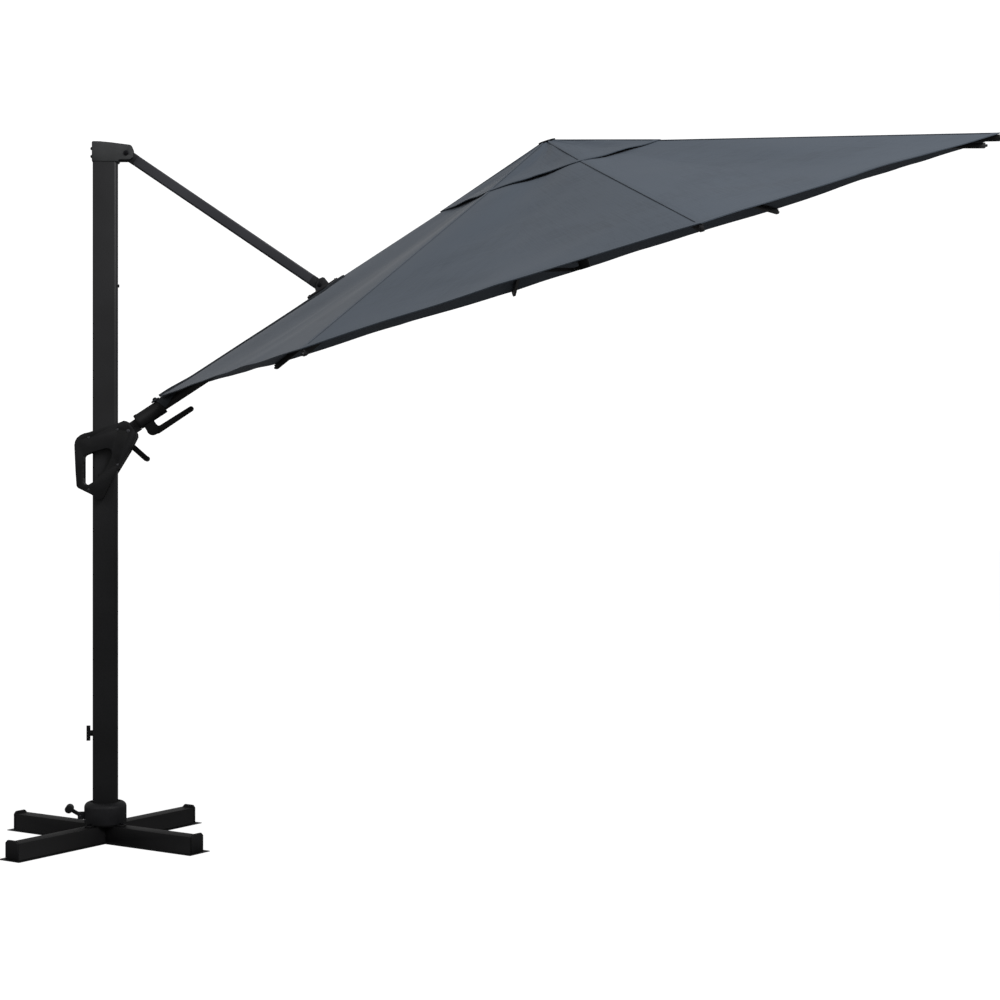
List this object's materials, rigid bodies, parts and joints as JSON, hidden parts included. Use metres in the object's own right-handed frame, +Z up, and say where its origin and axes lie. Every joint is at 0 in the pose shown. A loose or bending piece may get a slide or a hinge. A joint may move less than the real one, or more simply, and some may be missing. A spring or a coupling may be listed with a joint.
{
  "type": "cantilever parasol",
  "caption": "Garden parasol: a crossed-bar foot and swivelling mast carry a slanted boom and strut, a sliding carriage with crank, and a folding octagonal canopy with a vent flap.",
  "frame": {"origin": "on the ground, under the axis of the mast", "axes": "+Z up, +X from the mast along the boom towards the canopy, +Y to the far side"},
  "size_m": [3.9204, 3.4849, 2.7533],
  "materials": {
    "powder_coated_steel": "matt charcoal powder coat",
    "powder_coated_aluminium": "matt charcoal powder coat",
    "cast_aluminium": "charcoal painted casting",
    "zinc_plated_steel": "zinc plated",
    "bearing_plastic": "natural acetal",
    "black_nylon": "moulded, fine texture",
    "canopy_polyester": "woven anthracite polyester"
  },
  "bodies": {
    "base": {"base_bar_long": "powder_coated_steel", "base_bar_left": "powder_coated_steel", "base_bar_right": "powder_coated_steel", "bar_end_caps": "black_nylon", "centre_plate": "powder_coated_steel", "plate_bolts": "zinc_plated_steel", "base_socket": "cast_aluminium", "swivel_bearing": "bearing_plastic", "pedal_pin": "zinc_plated_steel"},
    "foot_pedal": {"foot_pedal": "black_nylon"},
    "mast": {"mast_tube": "powder_coated_aluminium", "mast_foot": "cast_aluminium", "top_cap": "black_nylon", "cap_bolts": "zinc_plated_steel", "strut_pin": "zinc_plated_steel", "stop_screw": "zinc_plated_steel"},
    "mast_knob": {"mast_knob": "black_nylon"},
    "strut": {"strut_tube": "powder_coated_aluminium", "strut_ends": "cast_aluminium"},
    "boom_carrier": {"strut_bracket": "cast_aluminium", "bracket_pin": "zinc_plated_steel", "bracket_screws": "zinc_plated_steel", "boom_neck": "cast_aluminium"},
    "boom": {"boom_tube": "powder_coated_aluminium", "boom_collar": "black_nylon", "hook_knob": "black_nylon", "boom_clevis": "cast_aluminium", "clevis_pin": "zinc_plated_steel", "canopy_fabric": "canopy_polyester"},
    "tilt_lever": {"tilt_lever": "black_nylon"},
    "hub": {"hub_crown": "black_nylon", "centre_post": "powder_coated_aluminium", "hub_pins": "zinc_plated_steel", "finial": "black_nylon", "vent_flap": "canopy_polyester"},
    "rib_near_left": {"rib_near_left": "powder_coated_aluminium"},
    "stay_near_left": {"stay_near_left": "powder_coated_aluminium"},
    "rib_near": {"rib_near": "powder_coated_aluminium"},
    "stay_near": {"stay_near": "powder_coated_aluminium"},
    "rib_near_right": {"rib_near_right": "powder_coated_aluminium"},
    "stay_near_right": {"stay_near_right": "powder_coated_aluminium"},
    "rib_outer": {"rib_outer": "powder_coated_aluminium"},
    "stay_outer": {"stay_outer": "powder_coated_aluminium"},
    "rib_far_right": {"rib_far_right": "powder_coated_aluminium"},
    "stay_far_right": {"stay_far_right": "powder_coated_aluminium"},
    "rib_far": {"rib_far": "powder_coated_aluminium"},
    "stay_far": {"stay_far": "powder_coated_aluminium"},
    "rib_far_left": {"rib_far_left": "powder_coated_aluminium"},
    "stay_far_left": {"stay_far_left": "powder_coated_aluminium"},
    "stay_boom": {"stay_boom": "powder_coated_aluminium"},
    "runner": {"runner": "black_nylon", "runner_pins": "zinc_plated_steel"},
    "carriage": {"carriage_front": "black_nylon", "carriage_back": "black_nylon", "carriage_screws": "zinc_plated_steel", "carriage_pin": "zinc_plated_steel", "carriage_glides": "bearing_plastic"},
    "crank": {"crank_arm": "black_nylon", "crank_grip": "black_nylon"},
    "grip_trigger": {"grip_trigger": "black_nylon"}
  },
  "joints": [
    {"name": "mast_swivel", "type": "hinge", "parent": "base", "child": "mast", "pos_m": [0, 0, 0.1], "axis": [0, 0, 1], "continuous": true},
    {"name": "foot_pedal_press", "type": "hinge", "parent": "base", "child": "foot_pedal", "pos_m": [-0.092, 0, 0.098], "axis": [0, 1, 0], "range_deg": [-14, 0], "stiffness_Nm_per_rad": 4, "springref_deg": 3.44},
    {"name": "mast_knob_turn", "type": "hinge", "parent": "mast", "child": "mast_knob", "pos_m": [-0.046, 0, 0.41], "axis": [1, 0, 0], "continuous": true},
    {"name": "boom_lift", "type": "hinge", "parent": "mast", "child": "strut", "pos_m": [0.08, 0, 2.613], "axis": [0, 1, 0], "range_deg": [-5, 52]},
    {"name": "bracket_turn", "type": "hinge", "parent": "strut", "child": "boom_carrier", "pos_m": [0.81086, 0, 2.12465], "axis": [0, 1, 0], "range_deg": [-100.06, 9.63]},
    {"name": "carriage_turn", "type": "hinge", "parent": "boom_carrier", "child": "carriage", "pos_m": [0.09, 0, 1.557], "axis": [0, 1, 0], "range_deg": [-4.63, 48.06]},
    {"name": "canopy_twist", "type": "hinge", "parent": "boom_carrier", "child": "boom", "pos_m": [0.13315, 0, 1.60039], "axis": [0.8305, 0, 0.557], "range_deg": [-23.7, 16.3]},
    {"name": "tilt_lever_pull", "type": "hinge", "parent": "boom", "child": "tilt_lever", "pos_m": [0.17755, 0.00342, 1.56649], "axis": [-0.0359, 0.9979, 0.0536], "range_deg": [0, 12]},
    {"name": "canopy_fold", "type": "hinge", "parent": "boom", "child": "hub", "pos_m": [1.68126, 0.00194, 2.60267], "axis": [-0.0359, 0.9979, 0.0536], "range_deg": [0, 73.97], "deforming": ["canopy_fabric", "vent_flap"]},
    {"name": "rib_near_left_turn", "type": "hinge", "parent": "hub", "child": "rib_near_left", "pos_m": [1.68488, -0.03163, 2.63637], "axis": [0.6983, -0.693, 0.1789], "range_deg": [0, 73.98]},
    {"name": "stay_near_left_turn", "type": "hinge", "parent": "rib_near_left", "child": "stay_near_left", "pos_m": [1.27588, -0.54326, 2.25095], "axis": [0.6983, -0.693, 0.1789], "range_deg": [-147.95, 0]},
    {"name": "rib_near_turn", "type": "hinge", "parent": "hub", "child": "rib_near", "pos_m": [1.71564, -0.04421, 2.64542], "axis": [0.9517, 0.0178, 0.3066], "range_deg": [0, 73.98]},
    {"name": "stay_near_turn", "type": "hinge", "parent": "rib_near", "child": "stay_near", "pos_m": [1.80588, -0.76015, 2.4069], "axis": [0.9517, 0.0178, 0.3066], "range_deg": [-147.95, 0]},
    {"name": "rib_near_right_turn", "type": "hinge", "parent": "hub", "child": "rib_near_right", "pos_m": [1.74545, -0.0305, 2.65588], "axis": [0.6475, 0.7182, 0.2547], "range_deg": [0, 73.98]},
    {"name": "stay_near_right_turn", "type": "hinge", "parent": "rib_near_right", "child": "stay_near_right", "pos_m": [2.31956, -0.52373, 2.5872], "axis": [0.6475, 0.7182, 0.2547], "range_deg": [-147.95, 0]},
    {"name": "rib_outer_turn", "type": "hinge", "parent": "hub", "child": "rib_outer", "pos_m": [1.75685, 0.00149, 2.66163], "axis": [-0.0359, 0.9979, 0.0536], "range_deg": [0, 73.98]},
    {"name": "stay_outer_turn", "type": "hinge", "parent": "rib_outer", "child": "stay_outer", "pos_m": [2.516, 0.02752, 2.68623], "axis": [-0.0359, 0.9979, 0.0536], "range_deg": [-147.95, 0]},
    {"name": "runner_turn", "type": "hinge", "parent": "stay_outer", "child": "runner", "pos_m": [1.88482, 0.02752, 2.2629], "axis": [-0.0359, 0.9979, 0.0536], "range_deg": [0, 73.98]},
    {"name": "rib_far_right_turn", "type": "hinge", "parent": "hub", "child": "rib_far_right", "pos_m": [1.74316, 0.03301, 2.65929], "axis": [-0.6983, 0.693, -0.1789], "range_deg": [0, 73.98]},
    {"name": "stay_far_right_turn", "type": "hinge", "parent": "rib_far_right", "child": "stay_far_right", "pos_m": [2.28014, 0.57067, 2.64598], "axis": [-0.6983, 0.693, -0.1789], "range_deg": [-147.95, 0]},
    {"name": "rib_far_turn", "type": "hinge", "parent": "hub", "child": "rib_far", "pos_m": [1.7124, 0.0456, 2.65024], "axis": [-0.9517, -0.0178, -0.3066], "range_deg": [0, 73.98]},
    {"name": "stay_far_turn", "type": "hinge", "parent": "rib_far", "child": "stay_far", "pos_m": [1.75013, 0.78756, 2.49003], "axis": [-0.9517, -0.0178, -0.3066], "range_deg": [-147.95, 0]},
    {"name": "rib_far_left_turn", "type": "hinge", "parent": "hub", "child": "rib_far_left", "pos_m": [1.6826, 0.03188, 2.63978], "axis": [-0.6475, -0.7182, -0.2547], "range_deg": [0, 73.98]},
    {"name": "stay_far_left_turn", "type": "hinge", "parent": "rib_far_left", "child": "stay_far_left", "pos_m": [1.23646, 0.55113, 2.30972], "axis": [-0.6475, -0.7182, -0.2547], "range_deg": [-147.95, 0]},
    {"name": "stay_boom_turn", "type": "hinge", "parent": "boom", "child": "stay_boom", "pos_m": [1.05008, 0.00194, 2.17933], "axis": [-0.0359, 0.9979, 0.0536], "range_deg": [0, 147.95]},
    {"name": "crank_turn", "type": "hinge", "parent": "carriage", "child": "crank", "pos_m": [0.085, 0.0725, 1.512], "axis": [0, 1, 0], "range_deg": [-0.01, 2071.17]},
    {"name": "trigger_squeeze", "type": "slide", "parent": "carriage", "child": "grip_trigger", "axis": [-1, 0, 0], "range_m": [0, 0.005], "stiffness_N_per_m": 400, "springref_m": -0.003}
  ],
  "couplings": [
    {"joint": "bracket_turn", "follows": "boom_lift", "ratio": -1.924},
    {"joint": "carriage_turn", "follows": "boom_lift", "ratio": 0.924},
    {"joint": "rib_near_left_turn", "follows": "canopy_fold", "ratio": 1},
    {"joint": "stay_near_left_turn", "follows": "canopy_fold", "ratio": -2},
    {"joint": "rib_near_turn", "follows": "canopy_fold", "ratio": 1},
    {"joint": "stay_near_turn", "follows": "canopy_fold", "ratio": -2},
    {"joint": "rib_near_right_turn", "follows": "canopy_fold", "ratio": 1},
    {"joint": "stay_near_right_turn", "follows": "canopy_fold", "ratio": -2},
    {"joint": "rib_outer_turn", "follows": "canopy_fold", "ratio": 1},
    {"joint": "stay_outer_turn", "follows": "canopy_fold", "ratio": -2},
    {"joint": "runner_turn", "follows": "canopy_fold", "ratio": 1},
    {"joint": "rib_far_right_turn", "follows": "canopy_fold", "ratio": 1},
    {"joint": "stay_far_right_turn", "follows": "canopy_fold", "ratio": -2},
    {"joint": "rib_far_turn", "follows": "canopy_fold", "ratio": 1},
    {"joint": "stay_far_turn", "follows": "canopy_fold", "ratio": -2},
    {"joint": "rib_far_left_turn", "follows": "canopy_fold", "ratio": 1},
    {"joint": "stay_far_left_turn", "follows": "canopy_fold", "ratio": -2},
    {"joint": "stay_boom_turn", "follows": "canopy_fold", "ratio": 2},
    {"joint": "crank_turn", "follows": "canopy_fold", "ratio": 28}
  ]
}
